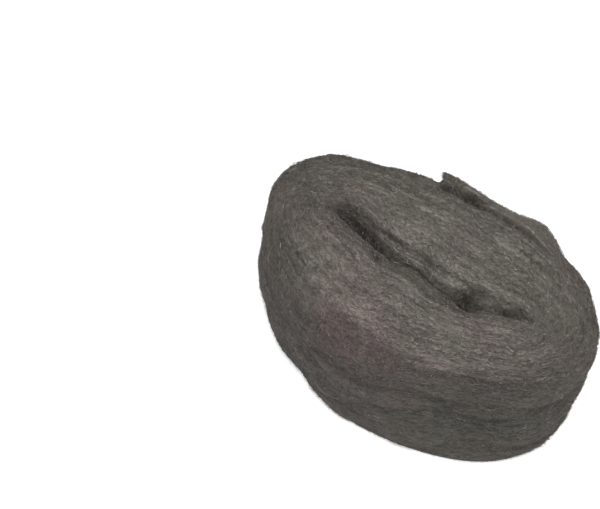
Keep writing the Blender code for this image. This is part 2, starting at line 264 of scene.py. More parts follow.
# Tones and tints go from 0 to 1. Each strand has a small square patch on the map of both: the
# limits of its corner, and its side
LEAST_LOOK = 0.02
MOST_LOOK = 0.96
LOOK_PATCH = 0.012
# The mean tone, the brightest one of a strand that is no glint, and the spread between strands
MIDDLE_TONE = 0.48
BRIGHTEST_TONE = 0.86
END_CONTRAST = 0.225
SIDE_CONTRAST = 0.22
# The tone of strands drifts, and all the wool has lighter and darker streaks
TONE_DRIFT_NOISE = ((0.012, 0.012, 0.08, 15),)
TONE_STREAK_NOISE = (
    (0.0400, 0.0090, 0.070, 23),
    (0.0280, 0.0042, 0.110, 21),
    (0.0120, 0.0018, 0.090, 22),
)

# Part of the end's strands lie evenly by share, as its turns are about as long by the slit
END_EVENNESS = 0.6
# Strands this near to the outer face, in turns, are kept off the tail's end
TAIL_EDGE = 1.6
# How far the side's strands reach past the upper and the lower rim
PAST_RIMS = (0.0020, 0.0010)
# How high fuzz stands and how far it leans. One in so many strands of it has a loose end.
FUZZ_RISE = (0.0002, 0.0013)
FUZZ_LEAN = math.radians(50)
FUZZ_LOOSE_ONE_IN = 2
# One in so many lies on the upper end, up to this far from its rim. The others lie down the
# side, and this power brings them nearer to the rim.
FUZZ_ON_END_ONE_IN = 3
FUZZ_ON_END = 0.0120
FUZZ_DOWN_POWER = 1.5
# More fuzz along the tail: how far before its end, and how far down
FUZZ_ON_TAIL = (math.radians(1), math.radians(46))
FUZZ_DOWN_TAIL = (-0.0064, 0.0030)
# A tuft on the tail's bump: its place before the tail's end and its spread, how far down it
# lies, and how high it stands
TUFT_BEFORE = (math.radians(42), math.radians(3))
TUFT_DOWN = (-0.0020, 0.0050)
TUFT_RISE = (0.0002, 0.0018)
# How far before the tail's end its fringes lie, and how far down its upper tip has more of them
FRINGE_REACH = (-0.0005, 0.0040)
TIP_DOWN = (-0.0020, 0.0120)

# Colours, dark to light, as (position, colour). The fibres' brightest stop is the colour of painted
# glints.
BODY_TONES = ((0.30, (0.052, 0.048, 0.042)), (0.70, (0.165, 0.151, 0.135)))
FIBRE_TONES = (
    (0.05, (0.045, 0.041, 0.036)),
    (0.50, (0.160, 0.146, 0.132)),
    (0.90, (0.290, 0.266, 0.242)),
    (0.97, (0.620, 0.590, 0.550)),
)
WOOL_ROUGHNESS = 0.55
BODY_METALLIC = 0.50
FIBRE_METALLIC = 0.35
# Streaks in the body's colour and relief, along the winding twice and across it
STREAKS_PER_METRE = (500.0, 500.0, 2400.0)
STREAK_DETAIL = 4.0
STREAK_BUMP = 0.7
STREAK_HEIGHT = 0.0004

# Tints from olive to rose, as (position, colour), and the mean place between them
TINTS = ((0.05, (0.945, 1.000, 0.930)), (0.95, (1.110, 0.965, 1.015)))
MIDDLE_TINT = 0.46
TINT_NOISE = ((0.030, 0.030, 0.22, 16), (0.010, 0.010, 0.20, 17))
# Where the tint differs, as (x, y, z, reach, amount)
TINT_PATCHES = (
    (-0.010, -0.038, 0.070, 0.022, 0.42),
    (-0.020, -0.037, 0.060, 0.012, 0.36),
    (0.046, -0.040, 0.034, 0.034, -0.34),
)
# Patches of painted light and painted shade, as (x, y, z, reach, amount). Lighter ones paint light
# on the tail's raised band and on slopes by the slit; darker ones paint shade in the slit, its
# dents and the side's hollows
PAINTED_LIGHT_AND_SHADE_PATCHES = (
    (0.0040, 0.0460, 0.0760, 0.0070, 0.42),
    (0.0150, 0.0440, 0.0740, 0.0070, 0.38),
    (0.0250, 0.0420, 0.0730, 0.0070, 0.34),
    (0.0350, 0.0390, 0.0730, 0.0080, 0.38),
    (0.0600, 0.0000, 0.0740, 0.0150, 0.06),
    (-0.0400, 0.0105, 0.0670, 0.0045, -0.20),
    (-0.0320, 0.0080, 0.0670, 0.0040, -0.22),
    (-0.0240, 0.0055, 0.0670, 0.0038, -0.08),
    (-0.0180, 0.0060, 0.0710, 0.0028, -0.16),
    (-0.0120, 0.0050, 0.0712, 0.0030, -0.22),
    (-0.0190, -0.0010, 0.0700, 0.0042, -0.16),
    (0.0215, -0.0030, 0.0690, 0.0050, -0.12),
    (0.0360, -0.0050, 0.0700, 0.0030, -0.12),
    (0.0055, 0.0385, 0.0700, 0.0045, -0.20),
    (0.0370, -0.0385, 0.0480, 0.0120, -0.15),
    (0.0460, -0.0345, 0.0390, 0.0090, -0.14),
    (-0.0065, 0.0030, 0.0703, 0.0026, -0.14),
    (0.0005, 0.0008, 0.0703, 0.0034, -0.18),
    (0.0070, -0.0010, 0.0708, 0.0028, -0.16),
    (0.0065, -0.0068, 0.0715, 0.0042, 0.18),
    (0.0264, -0.0006, 0.0697, 0.0038, 0.24),
    (0.0415, 0.0340, 0.0722, 0.0042, 0.20),
    (-0.0050, -0.0255, 0.0740, 0.0130, -0.06),
)

WHITE = (1.0, 1.0, 1.0, 1.0)

# Camera and light. The camera's place is in the form's own frame, before SHIFT.
CAMERA_PLACE = Vector((0.06225, -0.23235, 0.4928))
CAMERA_AZIMUTH = math.radians(26.5)
CAMERA_ELEVATION = math.radians(60)
SENSOR_WIDTH = 36.0
FOCAL_LENGTH = 74.4
WORLD_STRENGTH = 0.31
LAMP_PLACE = (0.07, -0.22, 1.14)
LAMP_SIZE = 0.7
LAMP_POWER = 15.4
# The floor: its size, its gap under the roll, its roughness, and how much light it throws back
FLOOR_SIZE = 6.0
FLOOR_GAP = 0.0002
FLOOR_ROUGHNESS = 0.9
FLOOR_BOUNCE = 0.60
# The seen floor glows a little, and more at a distance, as (distance, glow), near and far
FLOOR_GLOWS = ((0.15, 0.35), (0.60, 0.95))

# Distances along a fibre's own measure: the upper end is this far from slit to rim, and the
# side this high, at every angle
END_RUN = ROLL_DEPTH / 2 - SIDE_BULGE
WALL_RUN = STRIP_WIDTH
# The wool's noise goes round the roll at this radius, and is taken this far away for the base
GRAIN_RADIUS = 0.0600
BASE_GRAIN_SHIFT = -1.0

# Small steps that slopes are measured over
ANGLE_STEP = 0.004
DOWN_STEP = 0.0003
# Strands turn with the roll as if no part of it had a smaller radius than this
LEAST_RADIUS = 0.010
# Vectors shorter than this have no direction
LEAST_LENGTH = 1e-12
# How many places round the side and down it give the size of the form
BOX_PLACES = (721, 91)


def blend(low, high, amount):
    """The value that lies this share of the way from low to high."""
    return low + (high - low) * amount


def ease(amount):
    """0 to 1 with a soft start and end. The amount is first held between 0 and 1."""
    held = np.clip(amount, 0.0, 1.0)
    return held * held * (3.0 - 2.0 * held)


def bell(distance):
    """1 at no distance, falling off softly to 0 past a distance of about 2."""
    return np.exp(-distance * distance)


def unit(vectors):
    """The same directions, with a length of 1."""
    return vectors / np.maximum(np.linalg.norm(vectors, axis=-1), LEAST_LENGTH)[..., None]


# Noise

GRADIENT_COUNT = 512
GRADIENT_SEED = 11
GRADIENTS = unit(np.random.default_rng(GRADIENT_SEED).normal(size=(GRADIENT_COUNT, 3)))
HASH_STEPS = np.array((73856093, 19349663, 83492791))
HASH_SEED_STEP = 40503
HASH_MIX = 668265263
HASH_SHIFTS = (13, 17)
NOISE_GAIN = 1.6


def lattice_gradient(cell, seed):
    """A repeatable unit vector for each whole-number place."""
    mixed = (cell * HASH_STEPS).sum(-1) + seed * HASH_SEED_STEP
    mixed = (mixed ^ (mixed >> HASH_SHIFTS[0])) * HASH_MIX
    mixed = mixed ^ (mixed >> HASH_SHIFTS[1])
    return GRADIENTS[mixed % GRADIENT_COUNT]


def noise(places, seed):
    """Smooth noise, mostly from -1 to 1, with features about 1 across, at (..., 3) places."""
    cell = np.floor(places).astype(np.int64)
    inside = places - cell
    weight = ease(inside)
    total = np.zeros(places.shape[:-1])
    for corner in np.ndindex(2, 2, 2):
        offset = np.array(corner)
        slope = (lattice_gradient(cell + offset, seed) * (inside - offset)).sum(-1)
        share = np.where(offset == 1, weight, 1.0 - weight).prod(-1)
        total += slope * share
    return total * NOISE_GAIN


def grain(angle, down, rim):
    """Places for noise that goes round the roll and across its winding without a seam."""
    base_run = rim * END_RUN - (down - WALL_RUN) + BASE_GRAIN_SHIFT
    run = np.where(down > WALL_RUN, base_run, rim * END_RUN + down)
    shape = np.broadcast(angle, run)
    around = (GRAIN_RADIUS * np.cos(angle), GRAIN_RADIUS * np.sin(angle), run + 0.0 * angle)
    return np.stack([np.broadcast_to(value, shape.shape) for value in around], -1)


def layered(places, rows):
    """The sum of several noises, each stretched along the winding."""
    return sum(size * noise(places / (long, long, wide), seed) for long, wide, size, seed in rows)


# The form of the roll, as in the CAD model


def angle_apart(angle, place):
    """The angle from a place to this one, from minus to plus half a turn."""
    return (angle - place + math.pi) % math.tau - math.pi


def bell_round(angle, place, spread):
    """1 at a place round the roll and 0 far from it. Place and spread are in degrees."""
    return bell(angle_apart(angle, math.radians(place)) / math.radians(spread))


def bells_round(angle, places):
    """The sum of soft bumps round the roll, each as (angle, half spread, height)."""
    return sum(height * bell_round(angle, place, spread) for place, spread, height in places)


def bells_along(x, places):
    """The sum of soft bumps along the roll, each as (x, half length, height)."""
    return sum(height * bell((x - place) / long) for place, long, height in places)


def whole_turns():
    rest = ((TAIL_ANGLE - START_ANGLE) % math.tau) / math.tau
    pile = END_RUN - SLIT_MOUTH / 2
    return max(round(pile / STRIP_THICKNESS - 1 - rest), 1) + rest


TURNS = whole_turns()
LAYERS = TURNS + 1


def oval_direction(angle):
    """The point at this angle on an oval of half axes 1 and 1, squarer in some quarters."""
    along, aside = np.cos(angle), np.sin(angle)
    far = np.where(along < 0.0, *FAR_SQUARENESS)
    near = np.where(along < 0.0, *NEAR_SQUARENESS)
    squareness = np.where(aside > 0.0, far, near)
    reach = (np.abs(along) ** squareness + np.abs(aside) ** squareness) ** (1.0 / squareness)
    return along / reach, aside / reach


def rim_share(angle):
    """The share of the outermost turn. It grows round the roll and drops past the tail's end."""
    return 1.0 - ((TAIL_ANGLE - angle) % math.tau) / (math.tau * LAYERS)


def soft_rim_share(angle):
    """The same, with the drop spread out past the tail's end."""
    past = (angle - TAIL_ANGLE) % math.tau
    return blend(1.0, rim_share(angle), ease(past / RIM_SOFTENING))


def before_tail_end(angle, across):
    """The angle left to the tail's end. It is negative on fringes that run past that end."""
    before = (TAIL_ANGLE - angle) % math.tau
    return np.where(across > ON_FRINGE, before - math.tau, before)


def tail_curl(before):
    """How far the tail stands up and outward, along the outermost turn."""
    distance = before * ROLL_LENGTH / 2
    share = ease(1.0 - before / TAIL_REACH)
    rise, lift = TAIL_LIP_RISE * share, TAIL_LIFT * share
    for place, long, up, out in TAIL_CURLS:
        near = bell((distance - place) / long)
        rise = rise + up * near
        lift = lift + out * near
    return rise, lift


def core_bend(x):
    """How far the slit lies to the far side of the roll's middle at this x."""
    along = (x / SLIT_LENGTH + 0.5) / BENT_PART_OF_SLIT
    return SLIT_BEND * (1.0 - ease(along)) - SLIT_SET_BACK - bells_along(x, SLIT_SAGS)


def outer_bend(x):
    """How far the outer turns lie to the far side at this x: the roll's left end is bent."""
    left = np.maximum(-x, 0.0) / (ROLL_LENGTH / 2)
    return LEFT_END_BEND * left * left


def slit_open(x):
    """The share of the slit's depth that is left at this x."""
    return 1.0 - bells_along(x, SLIT_FILLED)


def plan_point(angle, share, outward):
    """x and y on the turn at this share, moved outward by a distance."""
    half_x = blend(SLIT_LENGTH / 2, ROLL_LENGTH / 2 - SIDE_BULGE, share) + outward
    half_y = blend(SLIT_MOUTH / 2, ROLL_DEPTH / 2 - SIDE_BULGE, share) + outward
    along, aside = oval_direction(angle)
    x = half_x * along
    half_y = half_y + bells_along(x, SLIT_GAPS) * (1.0 - ease(share / GAP_REACH))
    return x, half_y * aside + blend(core_bend(x), outer_bend(x), ease(share))


def reach_at(angle):
    """About how far the rim lies from the slit at this angle."""
    along, aside = oval_direction(angle)
    half_x = ROLL_LENGTH / 2 - SLIT_LENGTH / 2
    return np.hypot(half_x * along, ROLL_DEPTH / 2 * aside)


def across_last_turn(angle, share):
    """0 on the inner face of the outermost turn and 1 on its outer face."""
    return 1.0 - (rim_share(angle) - share) * LAYERS


def top_height(angle, share):
    """The upper end's height: a valley at the slit, a rounded shoulder, a slumped corner."""
    toward_far = (1.0 + np.sin(angle)) / 2
    toward_near_left = np.maximum(-np.sin(angle), 0.0) * ease(SLUMP_WIDTH - np.cos(angle))
    from_slit = np.maximum(share, 0.0) * END_RUN
    inside = (soft_rim_share(angle) - share) * reach_at(angle)
    shoulder = (1.0 - np.clip(inside / SHOULDER_REACH, 0.0, 1.0)) ** SHOULDER_POWER
    height = STRIP_WIDTH - VALLEY_DROP_TOP * (1.0 - ease(share / VALLEY_REACH))
    x = SLIT_LENGTH / 2 * oval_direction(angle)[0]
    height -= SLIT_LIP_DROP * slit_open(x) * bell(from_slit / SLIT_LIP_REACH)
    near_drop = NEAR_SHOULDER_DROP * (1.0 - bells_round(angle, FIRM_SHOULDERS))
    height -= blend(near_drop, FAR_SHOULDER_DROP, ease(toward_far)) * shoulder
    height -= FAR_HALF_DROP * toward_far * ease(share / VALLEY_REACH)
    height -= NEAR_LEFT_SLUMP * toward_near_left * share**SLUMP_POWER
    return height + tail_height(angle, share)


def tail_height(angle, share):
    """The lip of the loose tail, and the gap that it leaves at its inner face."""
    across = across_last_turn(angle, share)
    before = before_tail_end(angle, across)
    lip = tail_curl(before)[0] * ease((across + TAIL_FULLNESS) / TAIL_LIP_WIDTH)
    gap = TAIL_GAP_DEPTH * bell((across + TAIL_FULLNESS) / TAIL_GAP_WIDTH)
    return lip - ease((TAIL_REACH - before) / TAIL_FADING) * gap


def base_height(share):
    """The lower end's height: flat where the roll's weight presses it on a table."""
    valley = VALLEY_DROP_BASE * (1.0 - ease(share / BASE_FLAT_FROM))
    beyond = np.maximum(share - BASE_FLAT_TO, 0.0) / (1.0 - BASE_FLAT_TO)
    return valley + SHOULDER_DROP_BASE * beyond * beyond


def creased(angle, share_up):
    """How far the creases round the side draw it in."""
    total = 0.0
    for level, spread, depth, waves, phase in CREASES:
        wander = CREASE_WANDER * np.sin(waves * angle + phase)
        strength = 1.0 - CREASE_FADING * (1.0 + np.sin((waves - 1) * angle + phase))
        total = total + depth * strength * bell((share_up - level - wander) / spread)
    for place, spread, level, spread_up, depth in SIDE_HOLLOWS:
        near = bell_round(angle, place, spread)
        total = total + depth * near * bell((share_up - level) / spread_up)
    return total


def rim_shift(angle, share_up):
    """How far the roll stands out or is tucked in towards its lower and its upper rim."""
    low = bells_round(angle, LOW_RIM_SHIFTS)
    return blend(low, bells_round(angle, HIGH_RIM_SHIFTS), share_up)


def smooth_place(angle, down, rim):
    """Places on the roll before its fine relief, (..., 3)."""
    on_base = down > WALL_RUN
    inward = np.where(on_base, down - WALL_RUN, -np.minimum(down, 0.0))
    share = rim - inward / END_RUN
    share_up = np.clip(1.0 - down / WALL_RUN, 0.0, 1.0)
    on_wall = (share_up > 0.0) & (share_up < 1.0)
    bulge = SIDE_BULGE * (1.0 - np.abs(2.0 * share_up - 1.0) ** BULGE_POWER)
    outward = np.where(on_wall, bulge - creased(angle, share_up), 0.0)
    outward = outward + rim_shift(angle, share_up) * np.maximum(share, 0.0) ** RIM_SHIFT_POWER
    across = across_last_turn(angle, share)
    outward = outward + tail_curl(before_tail_end(angle, across))[1] * ease(across)
    x, y = plan_point(angle, share, outward)
    z = blend(base_height(share), top_height(angle, share), share_up)
    pressed = dents(x, y) + fold(angle, share, x)
    z = z - pressed * (1.0 - ease(down / DENT_FADE))
    return np.stack([x, y, z], -1)


def outward_normal(angle, down, rim):
    """Unit vectors that point out of the smooth roll."""
    rim_step = ANGLE_STEP / (math.tau * LAYERS)
    around = smooth_place(angle + ANGLE_STEP, down, rim + rim_step)
    around -= smooth_place(angle - ANGLE_STEP, down, rim - rim_step)
    away = smooth_place(angle, down + DOWN_STEP, rim)
    away -= smooth_place(angle, down - DOWN_STEP, rim)
    return unit(np.cross(away, around))


def fold(angle, share, x):
    """Depth of the fold beside the slit."""
    from_slit, half_width, middle, half_length, depth = FOLD
    wander = FOLD_WANDER * np.sin(x / FOLD_WAVE)
    across = bell((share * END_RUN - from_slit - wander) / half_width)
    return np.where(np.sin(angle) > 0.0, depth * across * bell((x - middle) / half_length), 0.0)


def lumps(place):
    """Height of the soft lumps at a place."""
    waves = []
    for *lengths, phase, height in LUMPS:
        turns = (place / np.array(lengths)).sum(-1)
        waves.append(height * np.sin(math.tau * turns + phase))
    return sum(waves)


def relief(angle, down, rim):
    """How far the matted surface stands off the smooth roll."""
    places = grain(angle, down, rim)
    height = layered(places, CLUMP_NOISE)
    share = rim + np.minimum(down, 0.0) / END_RUN
    turn = share * LAYERS - ((angle - START_ANGLE) % math.tau) / math.tau
    off_groove = np.abs((turn + 0.5) % 1.0 - 0.5)
    strength = np.clip(GROOVE_MEAN + layered(places, GROOVE_NOISE), 0.0, GROOVE_MOST)
    groove = GROOVE_DEPTH * strength * bell(off_groove / GROOVE_SPREAD)
    height = height - np.where(down < 0.0, groove, 0.0)
    return height * ease(np.abs(down - WALL_RUN) / RELIEF_FADE)


def dents(x, y):
    """Depth of the dents in the upper end."""
    total = 0.0
    for place_x, place_y, long, wide, turned, depth in DENTS:
        cos, sin = math.cos(math.radians(turned)), math.sin(math.radians(turned))
        along = (x - place_x) * cos + (y - place_y) * sin
        aside = (y - place_y) * cos - (x - place_x) * sin
        total = total + depth * bell(along / long) * bell(aside / wide)
    return total


def stood_off(angle, down, rim, fine):
    """Places at the lumps' height, and a finer height, above the smooth roll."""
    smooth = smooth_place(angle, down, rim)
    grown = blend(LUMPS_ON_END, 1.0, ease(down / LUMPS_GROW_BY + 0.5))
    height = lumps(smooth) * grown * ease((WALL_RUN - down) / RELIEF_FADE) + fine
    return smooth + outward_normal(angle, down, rim) * height[..., None]


def matted_place(angle, down, rim, height=0.0):
    """Places on the matted surface, or at a height above it."""
    fine = relief(angle, down, rim)
    fine = np.where(down > WALL_RUN, -np.abs(fine), fine)
    return stood_off(angle, down, rim, fine + height)


def frame_shift():
    """Moves the form above to where the CAD node stands."""
    around, below = BOX_PLACES
    angle, down = np.meshgrid(np.linspace(0.0, math.tau, around), np.linspace(0.0, WALL_RUN, below))
    places = stood_off(angle, down, rim_share(angle), 0.0).reshape(-1, 3)
    low, high = places.min(0), places.max(0)
    node_low, node_high = (np.array(corner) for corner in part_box(NODE))
    middle = (node_low + node_high) / 2 - (low + high) / 2
    return np.array((middle[0], middle[1], node_low[2]))


SHIFT = frame_shift()


def patches(place, listed):
    """The sum of soft patches at a place, each as (x, y, z, reach, amount)."""
    total = 0.0
    for *middle, reach, amount in listed:
        away = np.linalg.norm(place - np.array(middle), axis=-1)
        total = total + amount * bell(away / reach)
    return total


def streaks_and_painted_shading(angle, down, rim, place):
    """How much lighter the wool is at a place: streaks along the winding, and patches of painted
    light and painted shade.
    """
    streaks = layered(grain(angle, down, rim), TONE_STREAK_NOISE)
    return streaks + patches(place, PAINTED_LIGHT_AND_SHADE_PATCHES)


def tint_at(place):
    """The wool's tint at a place: olive towards 0, and rose towards 1."""
    return MIDDLE_TINT + layered(place, TINT_NOISE) + patches(place, TINT_PATCHES)


def smooth_mesh(name, places, faces):
    """A mesh of the form above the floor, moved to where the CAD node stands."""
    places[:, 2] = np.maximum(places[:, 2], 0.0)
    mesh = bpy.data.meshes.new(name)
    mesh.from_pydata((places + SHIFT).tolist(), [], faces)
    mesh.validate()
    mesh.shade_smooth()
    return mesh


# The body


def inner_share(step):
    """The share of the strip's inner face. Most of the first turn is pressed shut."""
    share = step / (LAYERS * STEPS_PER_TURN)
    shut_until = FIRST_TURN_SHUT * STEPS_PER_TURN
    opening = ease((step - shut_until) / (STEPS_PER_TURN - shut_until))
    return np.where(step >= STEPS_PER_TURN, share, share * opening)


class BodyMesh:
    """The roll's closed surface: both wound ends, the side, the tail's cut end, the slit."""

    def __init__(self):
        self.places = []
        self.grains = []
        self.tones = []
        self.count = 0
        self.faces = []
        self.first_step = round(START_ANGLE / math.tau * STEPS_PER_TURN)
        self.steps = round(TURNS * STEPS_PER_TURN)
        self.last_turn = self.steps - STEPS_PER_TURN
        self.top = self.make_end(on_base=False)
        self.base = self.make_end(on_base=True)
        self.side = self.make_side()
        self.tail = self.make_tail_end()

    def add(self, places, grains, tones):
        """Adds vertices in a grid and gives their numbers, as the same grid."""
        count = places[..., 0].size
        numbers = np.arange(self.count, self.count + count).reshape(places.shape[:-1])
        self.places.append(places.reshape(-1, 3))
        self.grains.append(np.broadcast_to(grains, places.shape).reshape(-1, 3))
        self.tones.append(np.broadcast_to(tones, places.shape[:-1]).ravel())
        self.count += count
        return numbers

    def add_surface(self, angle, down, rim):
        places = matted_place(angle, down, rim)
        # These tones hold painted light and painted shade from the patches, as well as streaks.
        tones = streaks_and_painted_shading(angle, down, rim, places)
        return self.add(places, grain(angle, down, rim), tones)

    def known(self):
        """Places, grain places and tones of all the vertices so far."""
        return np.concatenate(self.places), np.concatenate(self.grains), np.concatenate(self.tones)

    def angle_at(self, step):
        return math.tau * ((self.first_step + step) % STEPS_PER_TURN) / STEPS_PER_TURN

    def make_end(self, on_base):
        """Vertex numbers of one end, [step][place across]. The last is the next turn's first."""
        step = np.arange(self.steps + STEPS_PER_TURN + 1)
        across = np.arange(PLACES_ACROSS) / PLACES_ACROSS
        rows = step[: self.steps + 1, None]
        share = blend(inner_share(rows), inner_share(rows + STEPS_PER_TURN), across)
        numbers = self.end_grid(self.angle_at(rows) + 0.0 * across, share, on_base)
        last = step[self.steps + 1 :]
        outer = self.end_grid(self.angle_at(last), inner_share(last), on_base)
        following = np.concatenate([numbers[STEPS_PER_TURN:, 0], outer])
        return np.concatenate([numbers, following[:, None]], 1)

    def end_grid(self, angle, share, on_base):
        rim = rim_share(angle)
        inward = (rim - share) * END_RUN
        return self.add_surface(angle, WALL_RUN + inward if on_base else -inward, rim)

    def make_side(self):
        """Columns over the last turn, each from the upper rim to the lower."""
        step = np.arange(self.last_turn, self.steps + 1)[:, None]
        angle = self.angle_at(step) + 0.0 * np.arange(WALL_ROWS - 1)
        rim = inner_share(step + STEPS_PER_TURN) + 0.0 * angle
        down = WALL_RUN * np.arange(1, WALL_ROWS) / WALL_ROWS + 0.0 * angle
        between = self.add_surface(angle, down, rim)
        upper = self.top[self.last_turn :, -1:]
        lower = self.base[self.last_turn :, -1:]
        return np.concatenate([upper, between, lower], 1)

    def make_tail_end(self):
        """Columns of the strip's cut end, from its inner face to its outer face."""
        known, grains, tones = self.known()
        inner, outer = self.side[0], self.side[-1]
        from_row, to_row = inner[1:-1], outer[1:-1]
        columns = [inner]
        for place in range(1, PLACES_ACROSS):
            between = blend(known[from_row], known[to_row], place / PLACES_ACROSS)
            numbers = self.add(between, grains[to_row], tones[to_row])
            ends = self.top[-1, place], self.base[-1, place]
            columns.append(np.concatenate([ends[:1], numbers, ends[1:]]))
        return np.stack([*columns, outer])

    def bridge(self, grid, turned=False):
        """Quads between neighbouring rows and columns of a grid of vertex numbers."""
        corners = [grid[:-1, :-1], grid[1:, :-1], grid[1:, 1:], grid[:-1, 1:]]
        quads = np.stack([corner.ravel() for corner in corners], -1)
        self.faces += (quads[:, ::-1] if turned else quads).tolist()

    def close_slit(self, end, depth, turned):
        """Walls from the slit's lip down to the line where its two sides meet."""
        lip = np.concatenate([end[: STEPS_PER_TURN + 1, 0], end[0, -2:0:-1]])
        step = np.concatenate([np.arange(STEPS_PER_TURN + 1), np.zeros(PLACES_ACROSS - 1, int)])
        place = (self.first_step + step) % STEPS_PER_TURN
        key = np.minimum(place, STEPS_PER_TURN - place)
        known, grains, tones = (values[lip] for values in self.known())
        x = SLIT_LENGTH / 2 * oval_direction(math.tau * key / STEPS_PER_TURN)[0]
        bottom = np.stack([x, core_bend(x), known[:, 2] - depth * slit_open(x)], -1)
        rows = [lip]
        for row in range(1, SLIT_ROWS):
            share = row / SLIT_ROWS
            between = blend(known, bottom, np.array((share**2, share**2, share)))
            rows.append(self.add(between, grains, tones))
        _, first, same = np.unique(key, return_index=True, return_inverse=True)
        rows.append(self.add(bottom[first], grains[first], tones[first])[same.reshape(-1)])
        ring = np.stack(rows)
        ring = np.concatenate([ring, ring[:, :1]], 1)
        before = len(self.faces)
        self.bridge(ring, turned)
        self.faces[before:] = [list(dict.fromkeys(face)) for face in self.faces[before:]]

    def finish(self):
        self.bridge(self.top, turned=True)
        self.bridge(self.base)
        self.bridge(self.side, turned=True)
        self.bridge(self.tail)
        self.close_slit(self.top, SLIT_DEPTH_TOP, turned=True)
        self.close_slit(self.base, -SLIT_DEPTH_BASE, turned=False)
        places, grains, tones = self.known()
        faces = [face for face in self.faces if len(face) > 2]
        mesh = smooth_mesh("wool_body", places, faces)
        attribute = mesh.attributes.new("grain", "FLOAT_VECTOR", "POINT")
        attribute.data.foreach_set("vector", grains.ravel())
        for name, values in (("tint", tint_at(places)), ("tone", tones)):
            mesh.attributes.new(name, "FLOAT", "POINT").data.foreach_set("value", values)
        return mesh


# The fibres


class Fibres:
    """Closed, tapered strands on the matted surface, made together as one mesh."""

    def __init__(self, seed, contrast):
        self.random = np.random.default_rng(seed)
        self.contrast = contrast
        self.places = []
        self.faces = []
        self.looks = []
        self.count = 0

    def lay(self, kind, angle, down, rim, rise=None):
        """Kinked strands through these places, as fuzz where a rise is given."""
        count, points, lengths, widths = kind
        is_fuzz = rise is not None
        random = self.random
        glint = random.uniform(size=count) < (0.0 if is_fuzz else GLINT_SHARE)
        own_lean = FUZZ_LEAN if is_fuzz else np.where(glint, GLINT_LEAN, OWN_LEAN)
        length = random.uniform(*lengths, count) * np.where(glint, GLINT_LENGTH, 1.0)
        width = random.uniform(*widths, count)
        lean = layered(grain(angle, down, rim), SHARED_LEAN_NOISE)
        lean = lean + own_lean * random.normal(size=count)
        share = np.linspace(-0.5, 0.5, points)[None, :]
        kinks = random.uniform(-1.0, 1.0, (2, count, points))
        along = smooth_place(angle + ANGLE_STEP, down, rim)
        along -= smooth_place(angle - ANGLE_STEP, down, rim)
        radius = np.maximum(np.linalg.norm(along, axis=-1) / (2 * ANGLE_STEP), LEAST_RADIUS)
        turn = (length * np.cos(lean) / radius)[:, None] * share
        downs = down[:, None] + (length * np.sin(lean))[:, None] * share + KINK_ASIDE * kinks[0]
        angles = angle[:, None] + turn
        rims = rim[:, None] + turn / (math.tau * LAYERS)
        height = self.heights(share, count, rise) + KINK_UP * kinks[1]
        centres = matted_place(angles, downs, rims, height)
        strands = tubes(centres, width, outward_normal(angles, downs, rims))
        self.add(strands, self.looks_at(angle, down, rim, glint))

    def heights(self, share, count, rise):
        """Each strand bows up between its tucked-in ends, or rises to a loose end."""
        random = self.random
        bowed = 1.0 - (2.0 * np.abs(share)) ** BOW_POWER
        rising = (share + 0.5) ** RISE_POWER
        if rise is not None:
            top = random.uniform(*rise, count)[:, None]
            is_bowed = np.arange(count)[:, None] % FUZZ_LOOSE_ONE_IN
            return blend(TUCKED_IN, top, np.where(is_bowed, bowed, rising))
        laid = blend(TUCKED_IN, random.uniform(*FIBRE_LIFTS, count)[:, None], bowed)
        loose = blend(TUCKED_IN, random.uniform(*LOOSE_RISE, count)[:, None], rising)
        return np.where(random.uniform(size=(count, 1)) < LOOSE_SHARE, loose, laid)

    def looks_at(self, angle, down, rim, glint):
        """Each strand's tone, from dark to bright, and its tint, from olive to rose."""
        middle = smooth_place(angle, down, rim)
        own = self.random.normal(0.0, self.contrast, len(middle))
        tone = MIDDLE_TONE + layered(middle, TONE_DRIFT_NOISE) + own
        # Part of this is painted light and painted shade from the patches.
        tone = tone + streaks_and_painted_shading(angle, down, rim, middle)
        # Glints take a bright tone: painted highlights.
        tone = np.where(glint, PAINTED_GLINT_TONE, np.clip(tone, LEAST_LOOK, BRIGHTEST_TONE))
        return np.stack([tone, np.clip(tint_at(middle), LEAST_LOOK, MOST_LOOK)], -1)

    def add(self, strands, looks):
        count, corners = strands.shape[:2]
        first = self.count + corners * np.arange(count)
        self.places.append(strands.reshape(-1, 3))
        self.faces.append((strand_faces(corners)[None] + first[:, None, None]).reshape(-1, 3))
        self.looks.append((looks[:, None, :] + strand_patch(corners)).reshape(-1, 2))
        self.count += count * corners

    def finish(self, name):
        faces = np.concatenate(self.faces)
        mesh = smooth_mesh(name, np.concatenate(self.places), faces.tolist())
        layer = mesh.uv_layers.new(name="OFBake")
        layer.uv.foreach_set("vector", np.concatenate(self.looks)[faces.ravel()].ravel())
        return mesh


def tubes(centres, width, normal):
    """Tubes with few sides and pointed ends round these centre lines."""
    tangent = unit(np.gradient(centres, axis=1))
    aside = unit(np.cross(tangent, normal))
    normal = np.cross(aside, tangent)
    half = width[:, None, None] / 2
    rings = []
    for corner in range(TUBE_SIDES):
        turn = math.pi / 2 + math.tau * corner / TUBE_SIDES
        offset = math.cos(turn) * aside[:, 1:-1] + math.sin(turn) * normal[:, 1:-1]
        rings.append(centres[:, 1:-1] + half * offset)
    rings = np.stack(rings, 2).reshape(len(centres), -1, 3)
    return np.concatenate([centres[:, :1], rings, centres[:, -1:]], 1)


def strand_faces(corners):
    """Triangles of one strand: a fan at each tip, and a band between neighbouring rings."""
    faces = []
    last = corners - 1
    for corner in range(TUBE_SIDES):
        following = (corner + 1) % TUBE_SIDES
        faces.append((0, 1 + corner, 1 + following))
        end = last - TUBE_SIDES
        faces.append((last, end + following, end + corner))
        for near in range(1, end, TUBE_SIDES):
            far = near + TUBE_SIDES
            faces.append((near + corner, far + corner, far + following))
            faces.append((near + corner, far + following, near + following))
    return np.array(faces)


